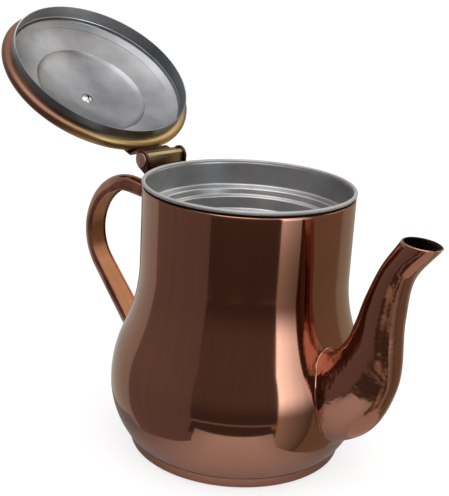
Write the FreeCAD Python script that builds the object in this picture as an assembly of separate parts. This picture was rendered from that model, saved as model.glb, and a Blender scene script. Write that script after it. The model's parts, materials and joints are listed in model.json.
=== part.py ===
import FreeCAD, Part
import math
import os

from FreeCAD import Vector

# The pot stands on Z = 0 with its axis on Z. +X points to the spout, -X to the handle and the lid's hinge.
# All sizes are in millimetres. The lid is drawn closed, then turned back about its pin to rest wide open.

# Pot body: one drawn sheet, straight at the neck and pear-shaped below
neck_radius = 50.1
body_top = 129.2
belly_radius = 62.35
belly_height = 33.0
belly_upper_arc = 61.0
belly_lower_arc = 43.0
shoulder_arc = 78.4
body_gauge = 0.7
rim_roll = 4.0
rim_roll_inset = 0.5

# Foot: a ring pressed over the body's lower lip, with a flat plate welded into it
foot_radius = 51.9
foot_height = 5.5
foot_corner = 2.5
foot_gauge = 0.8
lip_depth = 2.9

# Spout: two stamped halves, welded along the middle. Each station is its inner point, its outer point
# and its half width across the pot.
spout_stations = (
    ((46.0, 65.0), (46.0, 21.0), 12.4),
    ((57.0, 66.5), (60.0, 22.4), 12.3),
    ((66.0, 75.8), (81.3, 35.6), 11.2),
    ((69.6, 85.5), (92.0, 58.0), 10.1),
    ((74.2, 99.6), (91.9, 88.4), 9.3),
    ((80.3, 113.9), (94.3, 108.7), 8.4),
    ((88.4, 127.0), (106.6, 125.8), 7.6),
)
spout_gauge = 0.9
spout_hole_radius = 8.0
spout_hole_height = 42.0

# Handle: a half-oval channel with a flat strip let into its open side. The corners are those of the
# strip's face, each with its bend radius. The channel grows from top to bottom: its half width, its depth
# and the width of the edge beside the strip.
handle_corners = (
    (-44.0, 107.6, 0.0),
    (-106.6, 110.9, 28.4),
    (-113.2, 74.5, 22.3),
    (-74.4, 36.6, 17.0),
    (-50.0, 34.4, 0.0),
)
handle_top = (4.7, 7.3, 1.8)
handle_bottom = (6.7, 10.0, 1.0)
handle_gauge = 0.9
strip_gauge = 0.9
strip_play = 0.03

# Hinge: a bent bracket with two ears on the pot, a rolled leaf on the lid, and a headed pin
pin_x = -61.9
pin_z = 131.6
pin_radius = 1.5
pin_play = 0.05
pin_head_radius = 3.6
pin_head_height = 1.0
ear_gap = 23.6
ear_gauge = 1.2
ear_radius = 4.7
ear_foot = (-46.1, 117.0)
ear_inner_side = ((-46.1, 122.8), (-57.3, 125.3), (-57.3, 131.6))
web_outline = ((-46.1, 117.0), (-61.4, 125.87), (-60.8, 126.91), (-45.5, 118.04))
leaf_width = 23.0
leaf_plan = ((-34.0, 9.2), (-51.0, 9.2), (-59.5, 11.5), (-66.0, 11.5))
leaf_gauge = 1.2
leaf_corners = ((-37.0, 142.1, 0.0), (-50.6, 138.9, 2.5), (-53.4, 132.6, 2.0), (-61.9, 131.2, 0.0))
knuckle_half = 3.6
knuckle_corner = 1.2
heel_outline = ((-61.2, 128.3), (-61.2, 126.85), (-61.57, 126.2), (-62.8, 126.4), (-62.8, 128.3))
open_angle = 145.6

# Lid: a domed sheet with a rolled rim, a plug-in skirt ring and a turned knob
lid_gauge = 0.7
lid_top = 150.0
lid_flat_radius = 8.0
lid_step_radius = 30.0
lid_step_top = 144.0
lid_step_drop = 1.0
lid_rim_radius = 52.0
lid_rim_height = 135.0
lid_underside = 131.7
lid_gutter = (47.0, 136.8)
lid_shoulder = (49.0, 138.0)
lid_rim_inner = 49.6
skirt_radius = 48.0
skirt_gauge = 0.5
skirt_corners = ((48.0, 125.4, 0.0), (48.0, 135.6, 2.2), (44.4, 137.2, 0.0))
washer_gauge = 0.6
washer_radius = 7.4
knob_radius = 8.2
knob_foot_radius = 6.5
knob_foot_height = 1.2
knob_neck_radius = 4.0
knob_neck_height = 3.8
screw_radius = 2.0
screw_length = 11.0
screw_head_radius = 3.45
screw_head_height = 1.6
screw_play = 0.2

# Infuser basket: a stepped collar that hangs by its rolled rim on the pot's edge, with a perforated cup
basket_gauge = 0.5
bead_radius = 0.95
bead_centre = (49.5, 130.45)
collar_corners = (
    (48.6, 130.4, 0.0),
    (48.4, 118.2, 1.0),
    (44.0, 117.6, 1.0),
    (43.4, 114.4, 0.8),
    (41.4, 113.9, 0.8),
    (41.0, 107.6, 0.8),
    (38.5, 107.0, 0.8),
    (37.95, 100.0, 0.0),
)
cup_top = 103.6
cup_bottom = 62.0
strainer_gauge = 0.6
strainer_play = 0.05
strainer_hole_radius = 1.3
strainer_rings = ((0.0, 1), (6.5, 6), (13.0, 12), (19.5, 18), (26.0, 24))

origin = Vector(0, 0, 0)
up = Vector(0, 0, 1)
across = Vector(0, 1, 0)


def flat(point):
    return Vector(point[0], 0, point[1])


def line(start, end):
    return Part.LineSegment(flat(start), flat(end)).toShape()


def arc_through(start, middle, end):
    return Part.Arc(flat(start), flat(middle), flat(end)).toShape()


def arc_about(centre, radius, start, end):
    # Angles are in degrees from +X towards +Z
    turns = [math.radians(a) for a in (start, (start + end) / 2, end)]
    return arc_through(*[(centre[0] + radius * math.cos(a), centre[1] + radius * math.sin(a)) for a in turns])


def bowed(start, end, rise):
    # A shallow arc whose middle stands off its chord, to the left of the way from start to end
    run = math.dist(start, end)
    left = ((start[1] - end[1]) / run, (end[0] - start[0]) / run)
    middle = [(start[i] + end[i]) / 2 + rise * left[i] for i in (0, 1)]
    return arc_through(start, middle, end)


def bent_path(corners):
    # Straight runs joined by tangent arcs, from corners of (x, z, bend radius)
    edges = []
    here = corners[0][:2]
    for before, corner, after in zip(corners, corners[1:], corners[2:]):
        point = Vector(corner[0], corner[1], 0)
        back = (Vector(before[0], before[1], 0) - point).normalize()
        on = (Vector(after[0], after[1], 0) - point).normalize()
        half = back.getAngle(on) / 2
        reach = corner[2] / math.tan(half)
        start, end = point + back * reach, point + on * reach
        middle = point + (back + on).normalize() * (corner[2] / math.sin(half) - corner[2])
        edges.append(line(here, (start.x, start.y)))
        edges.append(arc_through((start.x, start.y), (middle.x, middle.y), (end.x, end.y)))
        here = (end.x, end.y)
    edges.append(line(here, corners[-1][:2]))
    return edges


def outline_face(points):
    return Part.Face(Part.makePolygon([flat(p) for p in list(points) + [points[0]]]))


def sheet_face(edges, gauge):
    # The section of a sheet whose one face runs along the edges
    section = Part.Wire(edges).makeOffset2D(gauge, 0, True, True)
    return Part.Face(Part.Wire(Part.__sortEdges__(section.Edges)))


def turned(face):
    return face.revolve(origin, up, 360)


def ring_solid(inner, outer, low, high):
    return turned(outline_face(((inner, low), (outer, low), (outer, high), (inner, high))))


def slab(face, width):
    # A section in the XZ plane made into a slab centred on Y = 0
    moved = face.copy()
    moved.translate(Vector(0, -width / 2, 0))
    return moved.extrude(Vector(0, width, 0))


def rod(x, z, radius, start, end):
    return Part.makeCylinder(radius, end - start, Vector(x, start, z), across)


def opened(shape):
    # From the closed lid's place to the open one
    moved = shape.copy()
    moved.rotate(Vector(pin_x, 0, pin_z), across, -open_angle)
    return moved


def save(name, shape):
    solid = shape.removeSplitter()
    print(name, "valid", solid.isValid(), "solids", len(solid.Solids), "volume", round(solid.Volume, 1))
    solid.exportStep(f"parts/{name}.step")


# Pot body

shoulder_turn = math.degrees(math.acos(1 - (belly_radius - neck_radius) / (belly_upper_arc + shoulder_arc)))
neck_foot = belly_height + (belly_upper_arc + shoulder_arc) * math.sin(math.radians(shoulder_turn))
foot_turn = math.degrees(math.asin((belly_height - foot_height) / belly_lower_arc))
crease_radius = belly_radius - belly_lower_arc * (1 - math.cos(math.radians(foot_turn)))
lip_radius = foot_radius - foot_gauge


def body_outline():
    return [
        line((neck_radius, body_top), (neck_radius, neck_foot)),
        arc_about((neck_radius + shoulder_arc, neck_foot), shoulder_arc, 180, 180 + shoulder_turn),
        arc_about((belly_radius - belly_upper_arc, belly_height), belly_upper_arc, shoulder_turn, 0),
        arc_about((belly_radius - belly_lower_arc, belly_height), belly_lower_arc, 0, -foot_turn),
    ]


def filled_body():
    # The body's outside as a full solid, to fit the spout, handle and bracket to
    crease = (crease_radius, foot_height)
    closing = [line(crease, (0, foot_height)), line((0, foot_height), (0, body_top))]
    return turned(Part.Face(Part.Wire(body_outline() + closing + [line((0, body_top), (neck_radius, body_top))])))


def outside_rim_roll():
    # What the rounding takes off the outside of the body's top edge
    turn = math.degrees(math.acos(1 - rim_roll_inset / rim_roll))
    foot = body_top - rim_roll * math.sin(math.radians(turn))
    start, clear = (neck_radius, foot), neck_radius + rim_roll
    end = (neck_radius - rim_roll_inset, body_top)
    edges = [
        arc_about((neck_radius - rim_roll, foot), rim_roll, 0, turn),
        line(end, (clear, body_top)),
        line((clear, body_top), (clear, foot)),
        line((clear, foot), start),
    ]
    return turned(Part.Face(Part.Wire(edges)))


def body_shell():
    lip = [
        line((crease_radius, foot_height), (lip_radius, foot_height)),
        line((lip_radius, foot_height), (lip_radius, foot_height - lip_depth)),
    ]
    shell = turned(sheet_face(body_outline() + lip, -body_gauge))
    start = Vector(0, 0, spout_hole_height)
    hole = Part.makeCylinder(spout_hole_radius, 2 * belly_radius, start, Vector(1, 0, 0))
    return shell.cut([hole, outside_rim_roll()])


def foot_ring():
    corner = (foot_radius - foot_corner, foot_corner)
    edges = [
        arc_about(corner, foot_corner, -90, 0),
        line((foot_radius, foot_corner), (foot_radius, foot_height)),
    ]
    return turned(sheet_face(edges, foot_gauge))


def base_plate():
    return Part.makeCylinder(foot_radius - foot_corner, foot_gauge)


# Spout


def spout_section(inner, outer, half_width, inset):
    # An ellipse that spans the two points and the width, less the inset all round
    middle = (flat(inner) + flat(outer)) * 0.5
    reach = flat(inner) - middle
    long_way = Vector(reach).normalize() * (reach.Length - inset)
    wide_way = across * (half_width - inset)
    normal = long_way.cross(wide_way).normalize()
    shape = FreeCAD.Matrix(
        long_way.x, wide_way.x, normal.x, middle.x,
        long_way.y, wide_way.y, normal.y, middle.y,
        long_way.z, wide_way.z, normal.z, middle.z,
        0, 0, 0, 1,
    )
    return Part.Wire(Part.makeCircle(1).transformGeometry(shape).Edges)


def spout_loft(inset):
    return Part.makeLoft([spout_section(*station, inset) for station in spout_stations], True)


def spout_halves(body):
    tube = spout_loft(0).cut(spout_loft(spout_gauge)).cut(body)
    size = tube.BoundBox.DiagonalLength
    left_side = Part.makeBox(2 * size, size, 2 * size, Vector(-size, 0, -size))
    return tube.common(left_side), tube.cut(left_side)


# Handle


def handle_sweep(draw, body):
    # Sweeps a section along the handle's line from its top size to its bottom one
    path = Part.Wire(bent_path(handle_corners))
    first, last = path.OrderedEdges[0], path.OrderedEdges[-1]
    profiles = []
    for edge, parameter, size in (
        (first, first.FirstParameter, handle_top),
        (last, last.LastParameter, handle_bottom),
    ):
        middle, way = edge.valueAt(parameter), edge.tangentAt(parameter)
        outward = Vector(way.z, 0, -way.x)
        profiles.append(draw(lambda y, out: middle + Vector(0, y, 0) + outward * out, *size))
    return path.makePipeShell(profiles, True, False).cut(body)


def half_oval(place, half, depth):
    oval = Part.Ellipse(place(0, depth), place(half, 0), place(0, 0))
    return Part.ArcOfEllipse(oval, -math.pi / 2, math.pi / 2).toShape()


def channel_section(place, half, depth, edge):
    inner = half - edge
    legs = [Part.LineSegment(place(side * half, 0), place(side * inner, 0)).toShape() for side in (-1, 1)]
    edges = [half_oval(place, half, depth), half_oval(place, inner, depth - handle_gauge)] + legs
    return Part.Wire(Part.__sortEdges__(edges))


def strip_section(place, half, depth, edge):
    # As wide as the channel is inside at the strip's far face
    share = strip_gauge / (depth - handle_gauge)
    reach = (half - edge) * math.sqrt(1 - share ** 2) - strip_play
    corners = ((-reach, 0), (reach, 0), (reach, strip_gauge), (-reach, strip_gauge), (-reach, 0))
    return Part.makePolygon([place(*corner) for corner in corners])


def handle_shell(body):
    return handle_sweep(channel_section, body)


def handle_strip(body):
    return handle_sweep(strip_section, body)


# Hinge


def ear_touch():
    # Where the ear's lower edge meets its round end
    dx, dz = ear_foot[0] - pin_x, ear_foot[1] - pin_z
    turn = math.atan2(dz, dx) - math.acos(ear_radius / math.hypot(dx, dz))
    return (pin_x + ear_radius * math.cos(turn), pin_z + ear_radius * math.sin(turn))


def ear_side(y):
    arm = outline_face((ear_foot,) + ear_inner_side + (ear_touch(),))
    arm.translate(Vector(0, y, 0))
    return arm.extrude(across * ear_gauge).fuse(rod(pin_x, pin_z, ear_radius, y, y + ear_gauge))


def hinge_bracket(body):
    half = ear_gap / 2
    web = slab(outline_face(web_outline), ear_gap)
    ears = web.fuse([ear_side(half), ear_side(-half - ear_gauge)])
    return ears.cut(rod(pin_x, pin_z, pin_radius, -ear_gap, ear_gap)).cut(body)


def hinge_pin():
    reach = ear_gap / 2 + ear_gauge
    pin = rod(pin_x, pin_z, pin_radius, -reach, reach)
    for start in (-reach - pin_head_height, reach):
        head = rod(pin_x, pin_z, pin_head_radius, start, start + pin_head_height)
        pin = pin.fuse(head)
    return pin


def hinge_leaf(lid):
    plate = slab(sheet_face(bent_path(leaf_corners), -leaf_gauge), leaf_width)
    plan = [Vector(x, side * y, 0) for side in (-1, 1) for x, y in leaf_plan[::side]]
    tapered = Part.Face(Part.makePolygon(plan + plan[:1])).extrude(up * lid_top)
    plate = opened(plate.common(tapered).cut(lid))
    half = knuckle_half
    roll = Part.makeBox(2 * half, leaf_width, 2 * half, Vector(pin_x - half, -leaf_width / 2, pin_z - half))
    long_edges = [e for e in roll.Edges if abs(e.tangentAt(0).y) > 0.9]
    roll = roll.makeChamfer(knuckle_corner, long_edges)
    heel = slab(outline_face(heel_outline), leaf_width)
    bore = rod(pin_x, pin_z, pin_radius + pin_play, -leaf_width, leaf_width)
    return plate.fuse([roll, heel]).cut(bore)


# Lid


def lid_outline():
    step_low = (lid_step_radius + lid_step_drop, lid_step_top - lid_step_drop)
    rim = arc_through(lid_shoulder, (lid_rim_radius, lid_rim_height), (lid_rim_inner, lid_underside))
    return [
        line((0, lid_top), (lid_flat_radius, lid_top)),
        bowed((lid_flat_radius, lid_top), (lid_step_radius, lid_step_top), 0.7),
        line((lid_step_radius, lid_step_top), step_low),
        bowed(step_low, lid_gutter, 0.7),
        line(lid_gutter, lid_shoulder),
        rim,
        line((lid_rim_inner, lid_underside), (skirt_radius, lid_underside)),
    ]


def filled_lid():
    floor = [line((skirt_radius, lid_underside), (0, lid_underside)), line((0, lid_underside), (0, lid_top))]
    return turned(Part.Face(Part.Wire(lid_outline() + floor)))


def lid_shell():
    dome = turned(sheet_face(lid_outline(), -lid_gauge))
    return dome.cut(Part.makeCylinder(screw_radius + screw_play, lid_top))


def lid_skirt():
    return turned(sheet_face(bent_path(skirt_corners), skirt_gauge))


def knob_washer():
    return ring_solid(screw_radius + screw_play, washer_radius, lid_top, lid_top + washer_gauge)


def lid_knob():
    foot = lid_top + washer_gauge
    shelf = foot + knob_foot_height
    neck = foot + knob_neck_height
    neck_turn = math.degrees(math.acos(knob_neck_radius / knob_radius))
    ball = neck + knob_radius * math.sin(math.radians(neck_turn))
    edges = [
        line((0, foot), (knob_foot_radius, foot)),
        line((knob_foot_radius, foot), (knob_foot_radius, shelf)),
        bowed((knob_foot_radius, shelf), (knob_neck_radius, neck), -0.6),
        arc_about((0, ball), knob_radius, -neck_turn, 90),
        line((0, ball + knob_radius), (0, foot)),
    ]
    hole = Part.makeCylinder(screw_radius, screw_length - washer_gauge - lid_gauge, Vector(0, 0, foot))
    return turned(Part.Face(Part.Wire(edges))).cut(hole)


def knob_screw():
    seat = lid_top - lid_gauge
    tip = seat + screw_length
    head_end = seat - screw_head_height
    dome = (screw_head_radius**2 + screw_head_height**2) / (2 * screw_head_height)
    head_turn = math.degrees(math.acos(screw_head_radius / dome))
    edges = [
        line((0, tip), (screw_radius, tip)),
        line((screw_radius, tip), (screw_radius, seat)),
        line((screw_radius, seat), (screw_head_radius, seat)),
        arc_about((0, head_end + dome), dome, -head_turn, -90),
        line((0, head_end), (0, tip)),
    ]
    return turned(Part.Face(Part.Wire(edges)))


# Infuser basket


def basket_collar():
    wall = turned(sheet_face(bent_path(collar_corners), basket_gauge))
    bead = Part.makeTorus(bead_centre[0], bead_radius, Vector(0, 0, bead_centre[1]), up)
    return wall.fuse(bead)


def cup_radius(z):
    # The cup's wall runs on down the cone of the collar's lower end
    (high_r, high_z, _), (low_r, low_z, _) = collar_corners[-2:]
    return low_r + (high_r - low_r) * (z - low_z) / (high_z - low_z)


def basket_cup():
    outer = [(cup_radius(z), z) for z in (cup_top, cup_bottom)]
    inner = [(radius - basket_gauge, z) for radius, z in reversed(outer)]
    return turned(outline_face(outer + inner))


def basket_strainer():
    low = cup_bottom
    radius = cup_radius(cup_bottom) - basket_gauge - strainer_play
    disc = Part.makeCylinder(radius, strainer_gauge, Vector(0, 0, low))
    holes = []
    for reach, count in strainer_rings:
        for turn in range(count):
            angle = 2 * math.pi * turn / count
            place = Vector(reach * math.cos(angle), reach * math.sin(angle), low)
            holes.append(Part.makeCylinder(strainer_hole_radius, strainer_gauge, place))
    return disc.cut(holes)


os.makedirs("parts", exist_ok=True)
pot_space = filled_body()
lid_space = filled_lid()
left_half, right_half = spout_halves(pot_space)

save("body_shell", body_shell())
save("foot_ring", foot_ring())
save("base_plate", base_plate())
save("spout_left_half", left_half)
save("spout_right_half", right_half)
save("handle_shell", handle_shell(pot_space))
save("handle_strip", handle_strip(pot_space))
save("hinge_bracket", hinge_bracket(pot_space))
save("hinge_pin", hinge_pin())
save("hinge_leaf", hinge_leaf(lid_space))
save("lid_shell", opened(lid_shell()))
save("lid_skirt", opened(lid_skirt()))
save("knob_washer", opened(knob_washer()))
save("lid_knob", opened(lid_knob()))
save("knob_screw", opened(knob_screw()))
save("basket_collar", basket_collar())
save("basket_cup", basket_cup())
save("basket_strainer", basket_strainer())
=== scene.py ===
import json
import math

import bmesh
import bpy
from mathutils import Matrix, Vector


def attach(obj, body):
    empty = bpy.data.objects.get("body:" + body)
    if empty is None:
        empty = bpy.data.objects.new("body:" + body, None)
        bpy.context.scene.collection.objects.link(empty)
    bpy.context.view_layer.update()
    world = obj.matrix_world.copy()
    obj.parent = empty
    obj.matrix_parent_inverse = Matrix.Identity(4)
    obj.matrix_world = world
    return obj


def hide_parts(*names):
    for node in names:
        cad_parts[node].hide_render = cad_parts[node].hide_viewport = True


# The coffee pot's looks. Pieces are modelled in millimetres and scaled at the end. Those of the lid are modelled
# with the lid shut and then turned open.

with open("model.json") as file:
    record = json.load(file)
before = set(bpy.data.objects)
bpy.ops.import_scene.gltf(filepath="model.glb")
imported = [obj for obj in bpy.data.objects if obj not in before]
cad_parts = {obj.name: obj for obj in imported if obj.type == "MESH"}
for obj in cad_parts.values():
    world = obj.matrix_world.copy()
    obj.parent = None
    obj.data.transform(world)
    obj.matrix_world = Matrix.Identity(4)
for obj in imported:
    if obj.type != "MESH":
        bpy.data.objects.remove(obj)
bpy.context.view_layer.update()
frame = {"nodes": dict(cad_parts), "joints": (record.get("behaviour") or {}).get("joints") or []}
print("frame loaded:", len(frame["nodes"]), "nodes")

mm = 0.001
lidJoint = next(joint for joint in frame["joints"] if joint["name"] == "lid_hinge")
pin = Vector(lidJoint["pos_m"]) / mm
openTurn = math.radians(lidJoint["range_deg"][1])


class Value:
    # A shader socket that takes part in sums
    def __init__(self, tree, socket=None):
        self.tree = tree
        self.socket = socket

    def node(self, kind, settings=None, inputs=None, output=0):
        made = self.tree.nodes.new(kind)
        for name, setting in (settings or {}).items():
            setattr(made, name, setting)
        for name, given in (inputs or {}).items():
            if isinstance(given, Value):
                self.tree.links.new(given.socket, made.inputs[name])
            else:
                made.inputs[name].default_value = given
        return Value(self.tree, made.outputs[output])

    def maths(self, operation, first, second):
        return self.node("ShaderNodeMath", {"operation": operation}, {0: first, 1: second})

    def __add__(self, other):
        return self.maths("ADD", self, other)

    def __radd__(self, other):
        return self.maths("ADD", other, self)

    def __sub__(self, other):
        return self.maths("SUBTRACT", self, other)

    def __rsub__(self, other):
        return self.maths("SUBTRACT", other, self)

    def __mul__(self, other):
        return self.maths("MULTIPLY", self, other)

    def __rmul__(self, other):
        return self.maths("MULTIPLY", other, self)


def newMaterial(name):
    material = bpy.data.materials.new(name)
    material.use_nodes = True
    return material, Value(material.node_tree), material.node_tree.nodes["Principled BSDF"]


def finishShader(shader, sockets):
    for name, given in sockets.items():
        if isinstance(given, Value):
            given.tree.links.new(given.socket, shader.inputs[name])
        else:
            shader.inputs[name].default_value = given


def objectPlace(value, scale=(1, 1, 1)):
    place = value.node("ShaderNodeTexCoord", output="Object")
    return place.node("ShaderNodeMapping", {}, {"Vector": place, "Scale": scale})


def closedLidPlace(value):
    # The place a point of the open lid has when the lid is shut, so that patterns centre on its axis
    place = value.node("ShaderNodeTexCoord", output="Object")
    moved = place.node("ShaderNodeMapping", {}, {"Vector": place, "Location": -pin * mm})
    return moved.node("ShaderNodeMapping", {}, {
        "Vector": moved, "Rotation": (0, openTurn, 0), "Location": pin * mm})


def noise(place, scale, detail=2.0):
    return place.node("ShaderNodeTexNoise", {}, {"Vector": place, "Scale": scale, "Detail": detail})


def ranged(value, run, ends=(0.0, 1.0), curve="LINEAR"):
    # Goes from one end to the other while the value goes along the run
    return value.node("ShaderNodeMapRange", {"interpolation_type": curve}, {
        "Value": value, "From Min": run[0], "From Max": run[1], "To Min": ends[0], "To Max": ends[1]})


def mixColours(factor, first, second):
    return factor.node("ShaderNodeMix", {"data_type": "RGBA"}, {"Factor": factor, 6: first, 7: second}, 2)


def bumped(height, strength, depth):
    return height.node("ShaderNodeBump", {}, {"Height": height, "Strength": strength, "Distance": depth})


# Turns along X to a colour that is painted light: a warm highlight on the rim's hinge side, a lighter side on the
# skirt
def paintedLightAlongX(place, colour, look):
    # Turns to the tint along X
    along = place.node("ShaderNodeSeparateXYZ", {}, {"Vector": place}, "X")
    return mixColours(ranged(along, look["paintedLightRun"]), colour, look["paintedLight"])


def buckled(place, bump, look):
    # Small dents in the sheet, fading out with the distance from the weld
    away = place.node("ShaderNodeVectorMath", {"operation": "DISTANCE"}, {0: place, 1: look["centre"]}, "Value")
    dents = noise(place, look["scale"]) * ranged(away, look["fade"], (1.0, 0.0))
    return dents.node("ShaderNodeBump", {}, {
        "Height": dents, "Strength": look["strength"], "Distance": look["depth"], "Normal": bump})


def copperFinish(name, look, placeOf=objectPlace):
    # Mirror-polished coating: slow tone drift, polishing lines, a slightly wavy sheet
    material, value, shader = newMaterial(name)
    place = placeOf(value)
    drift = noise(place, look["driftScale"])
    lines = noise(objectPlace(value, look["lineScale"]), 1.0, detail=3.0)
    smear = noise(place, look["smearScale"], detail=4.0)
    tone = 0.5 + look["contrast"] * (drift - 0.5) + look["streak"] * (lines - 0.5)
    colour = mixColours(tone, look["dark"], look["light"])
    if "paintedLight" in look:
        colour = paintedLightAlongX(place, colour, look)
    bump = bumped(noise(place, look["waveScale"]), look["waves"], look["waveDepth"])
    if "buckle" in look:
        bump = buckled(place, bump, look["buckle"])
    finishShader(shader, {
        "Base Color": colour,
        "Metallic": 1.0,
        "Roughness": look["roughness"] + look["smear"] * smear + look["lines"] * lines,
        "Normal": bump,
    })
    return material


def satinSteel(name, look, placeOf=objectPlace):
    # Spun sheet: fine rings about the piece's own axis and soft cloudy blotches
    material, value, shader = newMaterial(name)
    place = placeOf(value)
    flat = place.node("ShaderNodeVectorMath", {"operation": "MULTIPLY"}, {0: place, 1: (1, 1, 0)})
    radius = flat.node("ShaderNodeVectorMath", {"operation": "LENGTH"}, {0: flat}, "Value")
    height = place.node("ShaderNodeSeparateXYZ", {}, {"Vector": place}, "Z")
    ringPlace = place.node("ShaderNodeCombineXYZ", {}, {
        "X": radius * look["ringScale"], "Z": height * look["ringScale"]})
    rings = noise(ringPlace, 1.0, detail=3.0)
    clouds = noise(place, look["cloudScale"], detail=7.0)
    colour = mixColours(ranged(clouds, look["cloudRun"]), look["dark"], look["light"])
    if "paintedLight" in look:
        colour = paintedLightAlongX(place, colour, look)
    finishShader(shader, {
        "Base Color": colour,
        "Metallic": 1.0,
        "Roughness": look["roughness"] + look["cloud"] * clouds + look["ringRough"] * rings,
        "Normal": bumped(rings, look["rings"], look["ringDepth"]),
    })
    return material


def handledMetal(name, look):
    # Small parts and dark insides: plain metal with fingered patches
    material, value, shader = newMaterial(name)
    patches = noise(objectPlace(value), look["patchScale"], detail=3.0)
    finishShader(shader, {
        "Base Color": mixColours(patches, look["dark"], look["light"]),
        "Metallic": 1.0,
        "Roughness": look["roughness"] + look["patchRough"] * patches,
    })
    return material


weldBuckle = {
    "centre": (0.060, -0.006, 0.062), "fade": (0.006, 0.017), "scale": 210.0, "strength": 0.3, "depth": 0.002,
}
copperLook = {
    "dark": (0.35, 0.162, 0.112, 1), "light": (0.44, 0.220, 0.152, 1), "driftScale": 16.0, "contrast": 1.0,
    "lineScale": (420, 420, 12), "lines": 0.025, "streak": 0.12, "smearScale": 45.0, "smear": 0.05,
    "roughness": 0.045, "waveScale": 26.0, "waves": 0.02, "waveDepth": 0.001,
}
# The lid rim's copper is a darker copy of the body's, painted shade, and turns gold towards the hinge as a painted
# warm highlight
rimLook = {
    **copperLook, "dark": (0.18, 0.086, 0.056, 1), "light": (0.28, 0.138, 0.089, 1), "roughness": 0.30,
    "paintedLight": (0.60, 0.42, 0.180, 1), "paintedLightRun": (-0.026, -0.058),
}
spoutLook = {**copperLook, "waveScale": 120.0, "waves": 0.26, "roughness": 0.07, "buckle": weldBuckle}
handleLook = {
    **copperLook, "dark": (0.10, 0.026, 0.016, 1), "light": (0.47, 0.220, 0.150, 1), "driftScale": 65.0,
    "contrast": 2.6, "waveScale": 48.0, "waves": 0.45,
}
stripLook = {
    **copperLook, "dark": (0.27, 0.115, 0.055, 1), "light": (0.47, 0.220, 0.110, 1), "driftScale": 30.0,
    "lineScale": (14, 620, 14), "lines": 0.16, "streak": 0.7, "roughness": 0.20, "waveScale": 60.0, "waves": 0.30,
}
steelLook = {
    "dark": (0.40, 0.40, 0.405, 1), "light": (0.55, 0.55, 0.55, 1), "roughness": 0.27,
    "cloudScale": 42.0, "cloudRun": (0.35, 0.65), "cloud": 0.10,
    "ringScale": 1500.0, "rings": 0.06, "ringDepth": 0.0002, "ringRough": 0.06,
}
beadLook = {**steelLook, "dark": (0.47, 0.47, 0.475, 1), "light": (0.58, 0.58, 0.58, 1), "roughness": 0.60}
lidLook = {**steelLook, "dark": (0.23, 0.23, 0.24, 1), "light": (0.41, 0.41, 0.415, 1), "cloudScale": 34.0}
# The skirt turns pale grey on the side away from the hinge: a painted lighter side
skirtLook = {
    **lidLook, "dark": (0.15, 0.175, 0.195, 1), "light": (0.26, 0.290, 0.310, 1),
    "paintedLight": (0.86, 0.86, 0.865, 1), "paintedLightRun": (0.012, 0.042),
}
copper = copperFinish("copper_finish", copperLook)
rimCopper = copperFinish("rim_copper", rimLook, closedLidPlace)
spoutCopper = copperFinish("spout_copper", spoutLook)
handleCopper = copperFinish("handle_copper", handleLook)
stripCopper = copperFinish("strip_copper", stripLook)
basketSteel = satinSteel("basket_steel", steelLook)
beadSteel = satinSteel("bead_steel", beadLook)
lidSteel = satinSteel("lid_steel", lidLook, closedLidPlace)
skirtSteel = satinSteel("skirt_steel", skirtLook, closedLidPlace)
# Gold on the hinge roll stands in for a warm reflection: a painted reflection
leafMetal = handledMetal("leaf_metal", {
    "dark": (0.30, 0.22, 0.12, 1), "light": (0.42, 0.32, 0.19, 1), "patchScale": 160.0,
    "roughness": 0.22, "patchRough": 0.12,
})
pinMetal = handledMetal("pin_metal", {
    "dark": (0.46, 0.27, 0.23, 1), "light": (0.64, 0.41, 0.36, 1), "patchScale": 240.0,
    "roughness": 0.30, "patchRough": 0.15,
})
# Dark brown on the copper ears and leaf plate stands in for the dark surroundings they mirror: a painted
# reflection
earMetal = handledMetal("ear_metal", {
    "dark": (0.09, 0.045, 0.035, 1), "light": (0.20, 0.10, 0.075, 1), "patchScale": 120.0,
    "roughness": 0.16, "patchRough": 0.15,
})
screwMetal = handledMetal("screw_metal", {
    "dark": (0.44, 0.44, 0.44, 1), "light": (0.66, 0.66, 0.66, 1), "patchScale": 300.0,
    "roughness": 0.18, "patchRough": 0.15,
})
# Near-black painted shade, for the gap under the bead and the screw's cross recess
paintedShade = handledMetal("painted_shade", {
    "dark": (0.012, 0.009, 0.008, 1), "light": (0.03, 0.022, 0.018, 1), "patchScale": 90.0,
    "roughness": 0.6, "patchRough": 0.2,
})
spoutDark = handledMetal("spout_inside", {
    "dark": (0.02, 0.012, 0.010, 1), "light": (0.06, 0.035, 0.028, 1), "patchScale": 120.0,
    "roughness": 0.45, "patchRough": 0.2,
})
print("materials made")


meshing = {
    "mitre": 0.4,  # keeps a sheet's other face near a sharp corner
    "merge": 0.0005, "cadMerge": 0.002, "cadFlat": 1, "cadSharp": 30, "bevelSegments": 2, "smoothBelow": 32,
}


def arcPoints(centre, radius, start, end, steps):
    turns = [math.radians(start + (end - start) * step / steps) for step in range(steps + 1)]
    return [Vector((centre[0] + radius * math.cos(t), centre[1] + radius * math.sin(t))) for t in turns]


def bentPath(corners, steps=8):
    # Straight runs joined by arcs, from corners of (across, up, bend radius)
    points = [Vector(corners[0][:2])]
    for before, corner, after in zip(corners, corners[1:], corners[2:]):
        point = Vector(corner[:2])
        back = (Vector(before[:2]) - point).normalized()
        on = (Vector(after[:2]) - point).normalized()
        half = back.angle(on) / 2
        middle = point + (back + on).normalized() * corner[2] / math.sin(half)
        arm = point + back * corner[2] / math.tan(half) - middle
        turn = math.copysign(math.pi - 2 * half, back.x * on.y - back.y * on.x)
        points += [middle + Matrix.Rotation(-turn * step / steps, 2) @ arm for step in range(steps + 1)]
    return points + [Vector(corners[-1][:2])]


def bowedRun(start, end, rise, steps=10):
    # A shallow bow from start to end, rising to the left of the way
    run = end - start
    left = Vector((-run.y, run.x)).normalized()
    return [start + run * s + left * rise * 4 * s * (1 - s) for s in (step / steps for step in range(steps + 1))]


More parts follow.
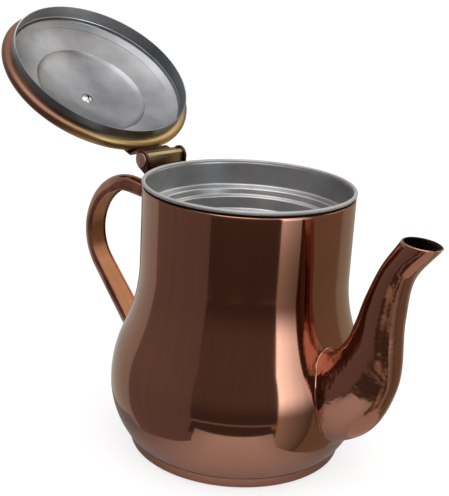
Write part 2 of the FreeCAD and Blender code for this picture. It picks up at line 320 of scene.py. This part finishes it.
def thicken(path, gauge):
    # The closed section of a sheet whose one face runs along the path and whose other lies to the left
    other = []
    for index, point in enumerate(path):
        neighbours = path[max(index - 1, 0)], path[min(index + 1, len(path) - 1)]
        runs = [(point - neighbours[0]).normalized(), (neighbours[1] - point).normalized()]
        ways = [run for run in runs if run.length > 0]
        way = (ways[0] + ways[-1]).normalized()
        left = Vector((-way.y, way.x))
        first = Vector((-ways[0].y, ways[0].x))
        other.append(point + left * gauge / max(meshing["mitre"], left.dot(first)))
    return list(path) + other[::-1]


def lathe(outline, facets):
    bm = bmesh.new()
    ring = [bm.verts.new((point[0], 0, point[1])) for point in outline]
    pairs = list(zip(ring, ring[1:]))
    if max(outline[0][0], outline[-1][0]) > 0:
        pairs.append((ring[-1], ring[0]))
    edges = [bm.edges.new(pair) for pair in pairs]
    bmesh.ops.spin(bm, geom=ring + edges, cent=(0, 0, 0), axis=(0, 0, 1), angle=2 * math.pi,
                   steps=facets, use_merge=True)
    bmesh.ops.remove_doubles(bm, verts=bm.verts, dist=meshing["merge"])
    bmesh.ops.recalc_face_normals(bm, faces=bm.faces)
    return bm


def sweep(rings, loop=False):
    bm = bmesh.new()
    loops = []
    for ring in rings:
        verts = [bm.verts.new(point) for point in ring]
        loops.append([bm.edges.new(pair) for pair in zip(verts, verts[1:] + verts[:1])])
    pairs = list(zip(loops, loops[1:]))
    if loop:
        pairs.append((loops[-1], loops[0]))
    for first, second in pairs:
        bmesh.ops.bridge_loops(bm, edges=first + second)
    bmesh.ops.holes_fill(bm, edges=[edge for edge in bm.edges if edge.is_boundary])
    bmesh.ops.recalc_face_normals(bm, faces=bm.faces)
    return bm


def cadCopy(node, edge):
    # A CAD node's shape with its sharp edges softened
    p = meshing
    bm = bmesh.new()
    bm.from_mesh(frame["nodes"][node].data)
    bmesh.ops.scale(bm, vec=(1 / mm,) * 3, verts=bm.verts)
    bmesh.ops.remove_doubles(bm, verts=bm.verts, dist=p["cadMerge"])
    bmesh.ops.dissolve_limit(bm, angle_limit=math.radians(p["cadFlat"]), verts=bm.verts, edges=bm.edges)
    limit = math.radians(p["cadSharp"])
    sharp = [e for e in bm.edges if len(e.link_faces) == 2 and e.calc_face_angle(0) > limit]
    bmesh.ops.bevel(bm, geom=sharp, offset=edge, offset_type="OFFSET", segments=p["bevelSegments"], profile=0.5,
                    affect="EDGES", material=-1, clamp_overlap=True)
    return bm


def turnOpen(bm):
    bmesh.ops.rotate(bm, verts=bm.verts, cent=pin, matrix=Matrix.Rotation(-openTurn, 3, "Y"))
    return bm


def newObject(name, bm, materials):
    mesh = bpy.data.meshes.new(name)
    bm.to_mesh(mesh)
    bm.free()
    for material in materials:
        mesh.materials.append(material)
    made = bpy.data.objects.new(name, mesh)
    bpy.context.scene.collection.objects.link(made)
    return made


def finishPiece(name, bm, body, materials, nodes, sharp=meshing["smoothBelow"]):
    bmesh.ops.scale(bm, vec=(mm,) * 3, verts=bm.verts)
    piece = newObject(name, bm, materials)
    piece.data.shade_smooth()
    piece.data.set_sharp_from_angle(angle=math.radians(sharp))
    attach(piece, body)
    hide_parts(*nodes)
    return piece


def cutOut(piece, cutter, material):
    # Takes the cutter's shape out of a finished piece and lines the cut with the material
    bmesh.ops.scale(cutter, vec=(mm,) * 3, verts=cutter.verts)
    tool = newObject("cutter", cutter, [material])
    modifier = piece.modifiers.new("cut", "BOOLEAN")
    modifier.operation = "DIFFERENCE"
    modifier.solver = "EXACT"
    modifier.use_self = True
    modifier.material_mode = "TRANSFER"
    modifier.object = tool
    made = bpy.data.meshes.new_from_object(piece.evaluated_get(bpy.context.evaluated_depsgraph_get()))
    piece.modifiers.clear()
    piece.data = made
    bpy.data.objects.remove(tool)


potBody = {
    "neckRadius": 50.1, "top": 128.4, "topRoll": 2.2, "topInset": 0.33, "rollSteps": 8,
    "bellyRadius": 62.35, "bellyHeight": 33.0, "upperArc": 61.0, "lowerArc": 43.0, "shoulderArc": 78.4,
    "gauge": 0.7, "lipRadius": 51.1, "creaseHeight": 5.5, "lipDepth": 4.0, "steps": 26, "facets": 256,
}
shoulderTurn = math.acos(1 - (potBody["bellyRadius"] - potBody["neckRadius"])
                         / (potBody["upperArc"] + potBody["shoulderArc"]))
neckFoot = potBody["bellyHeight"] + (potBody["upperArc"] + potBody["shoulderArc"]) * math.sin(shoulderTurn)
footTurn = math.asin((potBody["bellyHeight"] - potBody["creaseHeight"]) / potBody["lowerArc"])


def wallOutline(inset):
    # From the crease up to the foot of the neck
    p = potBody
    steps = p["steps"]
    belly = p["bellyRadius"]
    turn = math.degrees(shoulderTurn)
    lower = arcPoints((belly - p["lowerArc"], p["bellyHeight"]), p["lowerArc"] - inset,
                      -math.degrees(footTurn), 0, steps)
    upper = arcPoints((belly - p["upperArc"], p["bellyHeight"]), p["upperArc"] - inset, 0, turn, steps)
    shoulder = arcPoints((p["neckRadius"] + p["shoulderArc"], neckFoot), p["shoulderArc"] + inset,
                         180 + turn, 180, steps)
    return lower + upper[1:] + shoulder[1:]


def bodyRadius(height):
    p = potBody
    if height > neckFoot:
        return p["neckRadius"]
    if height > p["bellyHeight"] + p["upperArc"] * math.sin(shoulderTurn):
        return p["neckRadius"] + p["shoulderArc"] - math.sqrt(p["shoulderArc"] ** 2 - (neckFoot - height) ** 2)
    arc = p["upperArc"] if height > p["bellyHeight"] else p["lowerArc"]
    return p["bellyRadius"] - arc + math.sqrt(arc ** 2 - (height - p["bellyHeight"]) ** 2)


def makeBody():
    p = potBody
    rollTurn = math.degrees(math.acos(1 - p["topInset"] / p["topRoll"]))
    rollHeight = p["top"] - p["topRoll"] * math.sin(math.radians(rollTurn))
    roll = arcPoints((p["neckRadius"] - p["topRoll"], rollHeight), p["topRoll"], 0, rollTurn, p["rollSteps"])
    inner = wallOutline(p["gauge"])
    lip, lipFoot = p["lipRadius"], p["creaseHeight"] - p["lipDepth"]
    outline = [(lip, lipFoot), (lip, p["creaseHeight"])] + wallOutline(0) + roll
    outline += [(p["neckRadius"] - p["gauge"], p["top"])] + inner[::-1] + [(lip - p["gauge"], lipFoot)]
    finishPiece("pot_body", lathe(outline, p["facets"]), "pot", [copper], ["body_shell"])


footPan = {"radius": 51.9, "height": 5.4, "corner": 2.5, "gauge": 0.8, "facets": 192}


def makeFoot():
    p = footPan
    path = bentPath(((0, 0), (p["radius"], 0, p["corner"]), (p["radius"], p["height"])))
    pan = lathe(thicken(path, p["gauge"]), p["facets"])
    finishPiece("foot_pan", pan, "pot", [copper], ["foot_ring", "base_plate"])


spout = {
    # inner point, outer point and half width of each station, from inside the pot to the mouth
    "stations": (
        ((46.0, 65.0), (46.0, 21.0), 12.4),
        ((57.0, 66.5), (60.0, 22.4), 12.3),
        ((66.0, 75.8), (81.3, 35.6), 11.2),
        ((69.6, 85.5), (92.0, 58.0), 10.1),
        ((74.2, 99.6), (91.9, 88.4), 9.3),
        ((80.3, 113.9), (94.3, 108.7), 8.4),
        ((88.4, 127.0), (106.6, 125.8), 7.6),
    ),
    "gauge": 0.9, "columns": 72, "rings": 56, "smoothBelow": 60,
    "lip": 0.35, "lipWay": (0.25, 0, 1),  # how far the mouth's edge stands up, and which way
    "weld": 0.42, "weldSides": 8,
    "seamReach": 3.0, "seamHalvings": 30,  # the seam with the wall is looked for up to this station
}
spoutEdges = [Vector((*inner, *outer)) for inner, outer, _ in spout["stations"]]
spoutRows = [list(edges) + [station[2]] for edges, station in zip(spoutEdges, spout["stations"])]
spoutKnots = [0.0]
for before, after in zip(spoutEdges, spoutEdges[1:]):
    spoutKnots.append(spoutKnots[-1] + (after - before).length)


def spoutSlope(i, column):
    rows, knots = spoutRows, spoutKnots
    low, high = max(i - 1, 0), min(i + 1, len(rows) - 1)
    ways = [(rows[j + 1][column] - rows[j][column]) / (knots[j + 1] - knots[j]) for j in range(low, high)]
    if len(ways) == 1:
        return ways[0]
    before, after = knots[i] - knots[i - 1], knots[i + 1] - knots[i]
    return (ways[0] * after + ways[1] * before) / (before + after)


def stationAt(t):
    # A smooth line through the stations, t counted in stations
    index = min(int(t), len(spoutRows) - 2)
    share = t - index
    span = spoutKnots[index + 1] - spoutKnots[index]
    s2, s3 = share ** 2, share ** 3
    made = []
    for column, (a, b) in enumerate(zip(spoutRows[index], spoutRows[index + 1])):
        ma, mb = spoutSlope(index, column) * span, spoutSlope(index + 1, column) * span
        made.append((2 * s3 - 3 * s2 + 1) * a + (s3 - 2 * s2 + share) * ma
                    + (3 * s2 - 2 * s3) * b + (s3 - s2) * mb)
    return made


def spoutPoint(t, turn, inset=0.0):
    innerX, innerZ, outerX, outerZ, width = stationAt(t)
    middle = Vector(((innerX + outerX) / 2, 0, (innerZ + outerZ) / 2))
    reach = Vector((innerX, 0, innerZ)) - middle
    long = reach.normalized() * (reach.length - inset)
    return middle + long * math.cos(turn) + Vector((0, width - inset, 0)) * math.sin(turn)


def seamPlace(turn):
    # Where a line along the spout leaves the pot's wall
    low, high = 0.0, spout["seamReach"]
    for _ in range(spout["seamHalvings"]):
        middle = (low + high) / 2
        point = spoutPoint(middle, turn)
        if math.hypot(point.x, point.y) < bodyRadius(point.z):
            low = middle
        else:
            high = middle
    return low


def makeSpout():
    p = spout
    turns = [2 * math.pi * column / p["columns"] for column in range(p["columns"])]
    seams = [seamPlace(turn) for turn in turns]
    last = len(p["stations"]) - 1

    def ringAt(share, inset):
        return [spoutPoint(seam + (last - seam) * share, turn, inset) for turn, seam in zip(turns, seams)]

    shares = [ring / p["rings"] for ring in range(p["rings"] + 1)]
    outer = [ringAt(share, 0) for share in shares]
    inner = [ringAt(share, p["gauge"]) for share in shares[::-1]]
    lipRise = Vector(p["lipWay"]).normalized() * p["lip"]
    lip = [point + lipRise for point in ringAt(1, p["gauge"] / 2)]
    bm = sweep(outer + [lip] + inner, loop=True)
    bm.faces.ensure_lookup_table()
    for face in bm.faces[(p["rings"] + 1) * p["columns"]:]:  # those past the lip lie inside
        face.material_index = 1
    finishPiece("spout", bm, "pot", [spoutCopper, spoutDark],
                ["spout_left_half", "spout_right_half"], p["smoothBelow"])
    makeWeld(outer[0])


def makeWeld(seam):
    p = spout
    circle = [2 * math.pi * step / p["weldSides"] for step in range(p["weldSides"])]
    bead = []
    for index, point in enumerate(seam):
        along = (seam[(index + 1) % len(seam)] - seam[index - 1]).normalized()
        out = Vector((point.x, point.y, 0)).normalized()
        side = along.cross(out).normalized()
        bead.append([point + (out * math.cos(c) + side * math.sin(c)) * p["weld"] for c in circle])
    finishPiece("spout_weld", sweep(bead, loop=True), "pot", [copper], [])


handle = {
    # corners of the strip's face with their bend radii
    "corners": ((-49.45, 107.89), (-106.6, 110.9, 28.4), (-113.2, 74.5, 22.3), (-74.4, 36.6, 17.0),
                (-61.7, 35.45)),
    # half width, depth and edge of the channel at its top and at its bottom
    "top": (4.77, 7.39, 1.77), "bottom": (6.56, 9.81, 1.06),
    "gauge": 0.9, "crest": 0.55, "lipRound": 0.15, "lipSlope": 0.12,
    "stripGauge": 0.9, "stripPlay": 0.03, "recess": 0.55,
    "bendSteps": 14, "outerSteps": 28, "innerSteps": 16,
}


def halfOval(half, depth, steps, trim):
    # Leaves out the trimmed points at both ends
    turns = [math.pi * step / steps for step in range(trim, steps + 1 - trim)]
    return [(half * math.cos(t), depth * math.sin(t)) for t in turns]


def channelSection(half, depth, edge):
    # From lip to lip round the outside and back inside, as (across, outward)
    p = handle
    outer = halfOval(half, depth, p["outerSteps"], trim=2)
    inner = halfOval(half - edge, depth - p["gauge"], p["innerSteps"], trim=1)
    crest = half - edge * p["crest"]
    lip = [(half - edge, p["lipRound"]), (half - edge + p["lipRound"], 0), (crest, 0),
           (crest + p["lipSlope"], p["lipSlope"])]
    return lip + outer + [(-y, out) for y, out in lip[::-1]] + inner[::-1]


def stripSection(half, depth, edge):
    p = handle
    share = p["stripGauge"] / (depth - p["gauge"])
    reach = (half - edge) * math.sqrt(1 - share ** 2) - p["stripPlay"]
    low, high = p["recess"], p["stripGauge"]
    return [(-reach, low), (reach, low), (reach, high), (-reach, high)]


def handleRings(section):
    # Places the growing section square to the handle's line
    path = bentPath(handle["corners"], handle["bendSteps"])
    lengths = [0.0]
    for before, after in zip(path, path[1:]):
        lengths.append(lengths[-1] + (after - before).length)
    top, bottom = Vector(handle["top"]), Vector(handle["bottom"])
    rings = []
    for index, point in enumerate(path):
        run = path[min(index + 1, len(path) - 1)] - path[max(index - 1, 0)]
        way = run.normalized()
        outward = Vector((way.y, -way.x))
        size = top.lerp(bottom, lengths[index] / lengths[-1])
        rings.append([Vector((point.x + outward.x * out, y, point.y + outward.y * out))
                      for y, out in section(*size)])
    return rings


def makeHandle():
    channel = sweep(handleRings(channelSection))
    finishPiece("handle_channel", channel, "pot", [handleCopper], ["handle_shell"])
    strip = sweep(handleRings(stripSection))
    finishPiece("handle_inlay", strip, "pot", [stripCopper], ["handle_strip"])


hinge = {"rollRadius": 5.2, "earEdge": 0.25, "pinEdge": 0.35, "leafEdge": 0.3}


def makeHinge():
    p = hinge
    ears = cadCopy("hinge_bracket", p["earEdge"])
    finishPiece("hinge_ears", ears, "pot", [earMetal], ["hinge_bracket"])
    rivet = cadCopy("hinge_pin", p["pinEdge"])
    finishPiece("hinge_rivet", rivet, "pot", [pinMetal], ["hinge_pin"])
    leaf = cadCopy("hinge_leaf", p["leafEdge"])
    for face in leaf.faces:
        away = (face.calc_center_median() - pin).xz.length
        face.material_index = int(away > p["rollRadius"])  # the plate beyond the roll
    finishPiece("hinge_roll", leaf, "lid", [leafMetal, earMetal], ["hinge_leaf"])


lid = {
    "top": 150.0, "flatRadius": 8.0, "stepRadius": 30.0, "stepTop": 144.0, "stepDrop": 1.0, "bow": 0.7,
    "rimRadius": 52.0, "rimHeight": 135.0, "underside": 131.7, "shoulder": (49.0, 138.0), "rimInner": 49.6,
    "gutter": (47.0, 136.8), "gauge": 0.7, "rimSteps": 16, "facets": 224, "skirtRadius": 48.0, "skirtGauge": 0.5,
    "skirt": ((48.2, 126.3), (48.2, 133.0, 0.15), (48.5, 133.25, 0.15), (48.5, 133.6, 0.15), (48.2, 133.85, 0.15),
              (48.0, 135.6, 2.0), (44.0, 138.0)),
    "coveFoot": 133.8,
}


def circleThrough(a, b, c):
    # Centre of the circle through three points
    d = 2 * (a.x * (b.y - c.y) + b.x * (c.y - a.y) + c.x * (a.y - b.y))
    x = (a.length_squared * (b.y - c.y) + b.length_squared * (c.y - a.y) + c.length_squared * (a.y - b.y)) / d
    y = (a.length_squared * (c.x - b.x) + b.length_squared * (a.x - c.x) + c.length_squared * (b.x - a.x)) / d
    return Vector((x, y))


def lidOutline():
    p = lid
    stepHigh = Vector((p["stepRadius"], p["stepTop"]))
    stepLow = stepHigh + Vector((p["stepDrop"], -p["stepDrop"]))
    shoulder, bottom = Vector(p["shoulder"]), Vector((p["rimInner"], p["underside"]))
    widest = Vector((p["rimRadius"], p["rimHeight"]))
    centre = circleThrough(shoulder, widest, bottom)
    start, end = [math.degrees(math.atan2(*(point - centre).yx)) for point in (shoulder, bottom)]
    crown = bowedRun(Vector((p["flatRadius"], p["top"])), stepHigh, p["bow"])
    brim = bowedRun(stepLow, Vector(p["gutter"]), p["bow"])
    rim = arcPoints(centre, (shoulder - centre).length, start, end, p["rimSteps"])
    return [Vector((0, p["top"]))] + crown + brim + rim + [Vector((p["skirtRadius"], p["underside"]))]


def makeLid():
    p = lid
    dome = lathe(thicken(lidOutline(), -p["gauge"]), p["facets"])
    for face in dome.faces:
        inside = face.normal.z < 0 and face.calc_center_median().xy.length < p["skirtRadius"] - p["skirtGauge"]
        face.material_index = int(inside)
    finishPiece("lid_dome", turnOpen(dome), "lid", [rimCopper, lidSteel], ["lid_shell"])
    ring = lathe(thicken(bentPath(p["skirt"]), p["skirtGauge"]), p["facets"])
    for face in ring.faces:
        face.material_index = int(face.calc_center_median().z > p["coveFoot"])
    finishPiece("lid_ring", turnOpen(ring), "lid", [skirtSteel, lidSteel], ["lid_skirt"])


knob = {
    "radius": 8.2, "footRadius": 6.5, "footHeight": 1.2, "footEdge": 0.3, "neckRadius": 4.0, "neckHeight": 3.8,
    "waistBow": -0.6, "ballSteps": 24, "facets": 96,
    "washer": 0.6, "washerRadius": 7.4, "washerPlay": 0.2, "washerEdge": 0.15,
    "screwHead": 3.45, "screwHeadHeight": 1.6, "screwRadius": 2.0, "screwLength": 11.0, "headSteps": 12,
    "screwFacets": 64, "slotLength": 3.6, "slotWidth": 0.8, "slotDepth": 0.9, "slotTurns": (20, 110),
}


def makeKnob():
    p = knob
    crown = lid["top"]
    foot = crown + p["washer"]
    shelf, neck, edge = foot + p["footHeight"], foot + p["neckHeight"], p["footEdge"]
    turn = math.degrees(math.acos(p["neckRadius"] / p["radius"]))
    ball = neck + p["radius"] * math.sin(math.radians(turn))
    waist = bowedRun(Vector((p["footRadius"] - edge, shelf)), Vector((p["neckRadius"], neck)), p["waistBow"])
    outline = [Vector((0, foot)), Vector((p["footRadius"], foot)), Vector((p["footRadius"], shelf - edge))] + waist
    outline += arcPoints((0, ball), p["radius"], -turn, 90, p["ballSteps"])[1:]
    finishPiece("knob", turnOpen(lathe(outline, p["facets"])), "lid", [copper], ["lid_knob"])
    hole, rim, edge = p["screwRadius"] + p["washerPlay"], p["washerRadius"], p["washerEdge"]
    washer = [(hole, crown), (rim, crown), (rim, foot - edge), (rim - edge, foot), (hole, foot)]
    disc = turnOpen(lathe(washer, p["facets"]))
    finishPiece("knob_disc", disc, "lid", [screwMetal], ["knob_washer"])


def makeScrew():
    p = knob
    seat = lid["top"] - lid["gauge"]
    low, tip = seat - p["screwHeadHeight"], seat + p["screwLength"]
    dome = (p["screwHead"] ** 2 + p["screwHeadHeight"] ** 2) / (2 * p["screwHeadHeight"])
    headTurn = math.degrees(math.acos(p["screwHead"] / dome))
    head = arcPoints((0, low + dome), dome, -headTurn, -90, p["headSteps"])
    outline = [Vector((0, tip)), Vector((p["screwRadius"], tip)), Vector((p["screwRadius"], seat))] + head
    bolt = turnOpen(lathe(outline, p["screwFacets"]))
    screw = finishPiece("knob_bolt", bolt, "lid", [screwMetal], ["knob_screw"])
    cutter = bmesh.new()
    for turn in p["slotTurns"]:
        arm = bmesh.ops.create_cube(cutter, size=1)["verts"]
        bmesh.ops.scale(cutter, vec=(p["slotLength"], p["slotWidth"], 2 * p["slotDepth"]), verts=arm)
        bmesh.ops.rotate(cutter, verts=arm, cent=(0, 0, 0), matrix=Matrix.Rotation(math.radians(turn), 3, "Z"))
        bmesh.ops.translate(cutter, vec=(0, 0, low), verts=arm)
    # The cross recess is lined with near-black: painted shade
    cutOut(screw, turnOpen(cutter), paintedShade)


basket = {
    "gauge": 0.5, "facets": 224,
    "collar": ((49.35, 131.3), (48.45, 129.6, 2.2), (48.4, 118.2, 1.0), (44.0, 117.6, 1.0), (43.4, 114.4, 0.8),
               (41.4, 113.9, 0.8), (41.0, 107.6, 0.8), (38.5, 107.0, 0.8), (37.95, 100.0)),
    "beadRadius": 0.95, "beadCentre": (49.5, 130.45), "beadSteps": 20,
    "seam": ((48.6, 128.3), (49.35, 129.6)), "seamFacets": 192,  # painted shade: a near-black ring filling the gap under the bead
    "cupTop": 103.6, "cupBottom": 62.0, "cupFacets": 160, "floorEdge": 0.08,
}


def makeBasket():
    p = basket
    wall = lathe(thicken(bentPath(p["collar"]), p["gauge"]), p["facets"])
    finishPiece("collar_wall", wall, "basket", [basketSteel], ["basket_collar"])
    bead = arcPoints(p["beadCentre"], p["beadRadius"], 0, 360, p["beadSteps"])[:-1]
    finishPiece("collar_bead", lathe(bead, p["facets"]), "basket", [beadSteel], [])
    (seamIn, seamLow), (seamOut, seamHigh) = p["seam"]
    seam = [(seamIn, seamLow), (seamOut, seamLow), (seamOut, seamHigh), (seamIn, seamHigh)]
    # A near-black ring in the gap under the bead: painted shade
    finishPiece("rim_gap_shade", lathe(seam, p["seamFacets"]), "basket", [paintedShade], [])
    (highR, highZ, _), (lowR, lowZ) = p["collar"][-2:]

    def cupRadius(height):
        return lowR + (highR - lowR) * (height - lowZ) / (highZ - lowZ)

    ends = [Vector((cupRadius(height), height)) for height in (p["cupTop"], p["cupBottom"])]
    cup = lathe(thicken(ends, -p["gauge"]), p["cupFacets"])
    finishPiece("cup_wall", cup, "basket", [basketSteel], ["basket_cup"])
    strainer = cadCopy("basket_strainer", p["floorEdge"])
    finishPiece("cup_floor", strainer, "basket", [basketSteel], ["basket_strainer"])


makeBody()
makeFoot()
print("body and foot made")
makeSpout()
makeHandle()
print("spout and handle made")
makeHinge()
makeLid()
makeKnob()
makeScrew()
print("hinge, lid and knob made")
makeBasket()
print("basket made")


photoView = {
    "azimuth": 44.0, "elevation": 17.515, "roll": 3.228, "distance": 503.246, "right": -8.496, "up": 28.014,
    "height": 70.0, "focalPixels": 1038.635, "imageHeight": 496, "sensor": 36.0, "clipStart": 0.01,
}


def makeCamera():
    p = photoView
    a, e, roll = [math.radians(p[name]) for name in ("azimuth", "elevation", "roll")]
    back = Vector((math.sin(a) * math.cos(e), -math.cos(a) * math.cos(e), math.sin(e)))
    side = Vector((math.cos(a), math.sin(a), 0))
    rise = back.cross(side)
    right = side * math.cos(roll) + rise * math.sin(roll)
    up = rise * math.cos(roll) - side * math.sin(roll)
    place = Vector((0, 0, p["height"])) + right * p["right"] + up * p["up"] + back * p["distance"]
    data = bpy.data.cameras.new("photo_camera")
    data.sensor_width = p["sensor"]
    data.lens = p["focalPixels"] * p["sensor"] / p["imageHeight"]
    data.clip_start = p["clipStart"]
    camera = bpy.data.objects.new("photo_camera", data)
    camera.matrix_world = Matrix.Translation(place * mm) @ Matrix((right, up, back)).transposed().to_4x4()
    bpy.context.scene.collection.objects.link(camera)
    bpy.context.scene.camera = camera


# The studio is in metres, with azimuths counted from the camera. Cards stand round the pot for its mirror to show.
studio = {
    # start, end, top, colour low down and high up, the share of it left at the far edge, and for one card the
    # colour of the patches near its foot
    "cards": {
        "card_back_left": (-180, -107, 1.1, (0.60, 0.61, 0.56), (0.66, 0.66, 0.62), 0.75),
        "card_left": (-107, -38, 0.75, (0.25, 0.20, 0.19), (0.27, 0.22, 0.21), 0.85),
        "card_dark": (-38, 34, 0.58, (0.085, 0.062, 0.052), (0.155, 0.118, 0.105), 1.0, (0.55, 0.43, 0.32)),
        "card_window": (34, 66, 0.8, (0.52, 0.48, 0.40), (3.0, 3.3, 3.5), 0.22),
        "card_right": (66, 115, 1.7, (0.27, 0.215, 0.155), (0.30, 0.24, 0.175), 1.0),
        "card_back_right": (115, 180, 0.9, (0.40, 0.37, 0.29), (0.46, 0.42, 0.34), 1.0),
    },
    "radius": 1.0, "low": -1.4, "cardStep": 4, "fade": (-0.22, 0.12), "streaks": 0.22, "streakScale": (9, 9, 0.4),
    "blotchScale": (2.6, 2.6, 13), "blotchDepth": (-0.25, -0.32), "blotchRun": (0.44, 0.62),
    "ground": (0.67, 0.58, 0.54), "groundSides": 48,
    # azimuth and reach of each corner of the pale paper that the pot's lower half mirrors
    "paper": ((-27, 0.130), (0, 0.117), (24, 0.128), (24, 0.088), (30, 0.079), (46, 0.069), (59, 0.068),
              (110, 0.075), (150, 0.095), (180, 0.105), (210, 0.105), (240, 0.095), (282, 0.086), (295, 0.076),
              (313, 0.078), (327, 0.083), (333, 0.089)),
    "paperHeight": 0.0003, "paperShade": (0.80, 0.32), "paperShadeRun": (0.02, 0.07),  # darker to both sides
    # strips of floor in front of the paper: start, end, near and far reach, height and colour
    "strips": {
        "paper_edge": (-31, 24, 0.167, 0.173, 0.0003, (0.55, 0.495, 0.47)),
        # a dark strip, seen only in reflections, is a painted shadow of the pot on the floor in front
        "painted_floor_shadow": (-31, 24, 0.112, 0.200, 0.0002, (0.090, 0.066, 0.056)),
    },
    "stripSteps": 14,
    "floorSize": 6.0, "floorColour": 0.92, "floorShown": 0.34, "floorGlow": 0.72, "matt": 0.9,
    "worldLight": 0.80,
    # azimuth, elevation, distance, size and power of each soft lamp
    "lamps": {"lamp_over": (-20, 62, 1.3, 1.3, 5.0), "lamp_side": (114, 42, 0.9, 0.8, 1.25)},
}
mirrored = ("glossy",)  # shown by reflections only


def addStage(name, bm, material, seenBy):
    thing = newObject(name, bm, [material])
    for rays in ("camera", "diffuse", "glossy", "transmission", "shadow"):
        setattr(thing, "visible_" + rays, rays in seenBy)


def cameraTurn(azimuth):
    a = math.radians(photoView["azimuth"] + azimuth)
    return Vector((math.sin(a), -math.cos(a), 0))


def sideways(place, way):
    return place.node("ShaderNodeVectorMath", {"operation": "DOT_PRODUCT"}, {0: place, 1: way}, "Value")


def spunBand(ends, turn, steps):
    # What the line between two points sweeps out about the pot's axis
    bm = bmesh.new()
    verts = [bm.verts.new(end) for end in ends]
    edge = bm.edges.new(verts)
    bmesh.ops.spin(bm, geom=verts + [edge], cent=(0, 0, 0), axis=(0, 0, 1), angle=math.radians(turn), steps=steps)
    return bm


def glowMaterial(name, look):
    # look gives the colour and the strength of the glow as nodes or plain values
    material, value, _ = newMaterial(name)
    colour, strength = look(value)
    glow = value.node("ShaderNodeEmission", {}, {"Color": colour, "Strength": strength})
    output = material.node_tree.nodes["Material Output"]
    material.node_tree.links.new(glow.socket, output.inputs["Surface"])
    return material


def plainGlow(name, colour):
    return glowMaterial(name, lambda value: ((*colour, 1), 1.0))


def cardLook(value, start, end, lowColour, highColour, farShare, blotch=None):
    # Falls off from the card's first edge to its far one, with soft upright streaks
    p = studio
    place = value.node("ShaderNodeTexCoord", output="Object")
    height = place.node("ShaderNodeSeparateXYZ", {}, {"Vector": place}, "Z")
    first, last = cameraTurn(start) * p["radius"], cameraTurn(end) * p["radius"]
    across = (last - first).normalized()
    fall = ranged(sideways(place, across), (first.dot(across), last.dot(across)), (1.0, farShare))
    streaks = noise(objectPlace(value, p["streakScale"]), 1.0, detail=3.0)
    level = fall * (1 + p["streaks"] * (streaks - 0.5))
    colour = mixColours(ranged(height, p["fade"], curve="SMOOTHSTEP"), (*lowColour, 1), (*highColour, 1))
    if blotch:
        # uneven patches near the card's foot, which only the leaning sides of the pot show
        patches = noise(objectPlace(value, p["blotchScale"]), 1.0, detail=4.0)
        share = ranged(height, p["blotchDepth"]) * ranged(patches, p["blotchRun"])
        colour = mixColours(share, colour, (*blotch, 1))
    return colour, level


def makeCards():
    p = studio
    for name, (start, end, high, *colours) in p["cards"].items():
        ends = [cameraTurn(start) * p["radius"] + Vector((0, 0, z)) for z in (p["low"], high)]
        card = spunBand(ends, end - start, int((end - start) / p["cardStep"]))
        addStage(name, card, glowMaterial(name, lambda value: cardLook(value, start, end, *colours)), mirrored)
    ground = bmesh.new()
    bmesh.ops.create_circle(ground, cap_ends=True, segments=p["groundSides"], radius=p["radius"])
    bmesh.ops.translate(ground, vec=(0, 0, p["low"]), verts=ground.verts)
    addStage("card_ground", ground, plainGlow("card_ground", p["ground"]), mirrored)


def makePaper():
    p = studio
    paperMaterial, value, shader = newMaterial("paper")
    side = sideways(objectPlace(value), cameraTurn(90))
    offside = side.node("ShaderNodeMath", {"operation": "ABSOLUTE"}, {0: side})
    finishShader(shader, {
        "Base Color": ranged(offside, p["paperShadeRun"], p["paperShade"]),
        "Roughness": p["matt"],
    })
    paper = bmesh.new()
    rise = Vector((0, 0, p["paperHeight"]))
    corners = [paper.verts.new(cameraTurn(azimuth) * reach + rise) for azimuth, reach in p["paper"]]
    paper.faces.new(corners)
    addStage("paper", paper, paperMaterial, mirrored)
    for name, (start, end, near, far, height, colour) in p["strips"].items():
        ends = [cameraTurn(start) * reach + Vector((0, 0, height)) for reach in (near, far)]
        strip = spunBand(ends, end - start, p["stripSteps"])
        addStage(name, strip, plainGlow(name, colour), mirrored)


def makeFloor():
    p = studio
    floorMaterial, value, shader = newMaterial("floor")
    camera = value.node("ShaderNodeLightPath", output="Is Camera Ray")
    finishShader(shader, {
        "Base Color": p["floorColour"] - (p["floorColour"] - p["floorShown"]) * camera,
        "Roughness": p["matt"],
        "Emission Color": p["floorGlow"] * camera,
        "Emission Strength": 1.0,
    })
    floor = bmesh.new()
    bmesh.ops.create_grid(floor, x_segments=1, y_segments=1, size=p["floorSize"] / 2)
    addStage("floor", floor, floorMaterial, ("camera", "diffuse", "transmission", "shadow"))


def makeLamps():
    for name, (azimuth, elevation, distance, size, power) in studio["lamps"].items():
        lampData = bpy.data.lights.new(name, "AREA")
        lampData.energy = power
        lampData.size = size
        lampData.shape = "DISK"
        lamp = bpy.data.objects.new(name, lampData)
        rise = math.radians(elevation)
        lamp.location = (cameraTurn(azimuth) * math.cos(rise) + Vector((0, 0, math.sin(rise)))) * distance
        lamp.rotation_euler = (-lamp.location).to_track_quat("-Z", "Y").to_euler()
        bpy.context.scene.collection.objects.link(lamp)


def makeWorld():
    world = bpy.data.worlds.new("studio")
    world.use_nodes = True
    bpy.context.scene.world = world
    value = Value(world.node_tree)
    camera = value.node("ShaderNodeLightPath", output="Is Camera Ray")
    glossy = value.node("ShaderNodeLightPath", output="Is Glossy Ray")
    through = value.node("ShaderNodeLightPath", output="Is Transmission Ray")
    shown = camera + glossy + through
    strength = studio["worldLight"] + (1 - studio["worldLight"]) * shown
    background = world.node_tree.nodes["Background"]
    background.inputs["Color"].default_value = (1, 1, 1, 1)
    world.node_tree.links.new(strength.socket, background.inputs["Strength"])
    bpy.context.scene.view_settings.view_transform = "Standard"


makeCamera()
makeFloor()
makePaper()
makeCards()
makeLamps()
makeWorld()
print("camera, stage and light made")
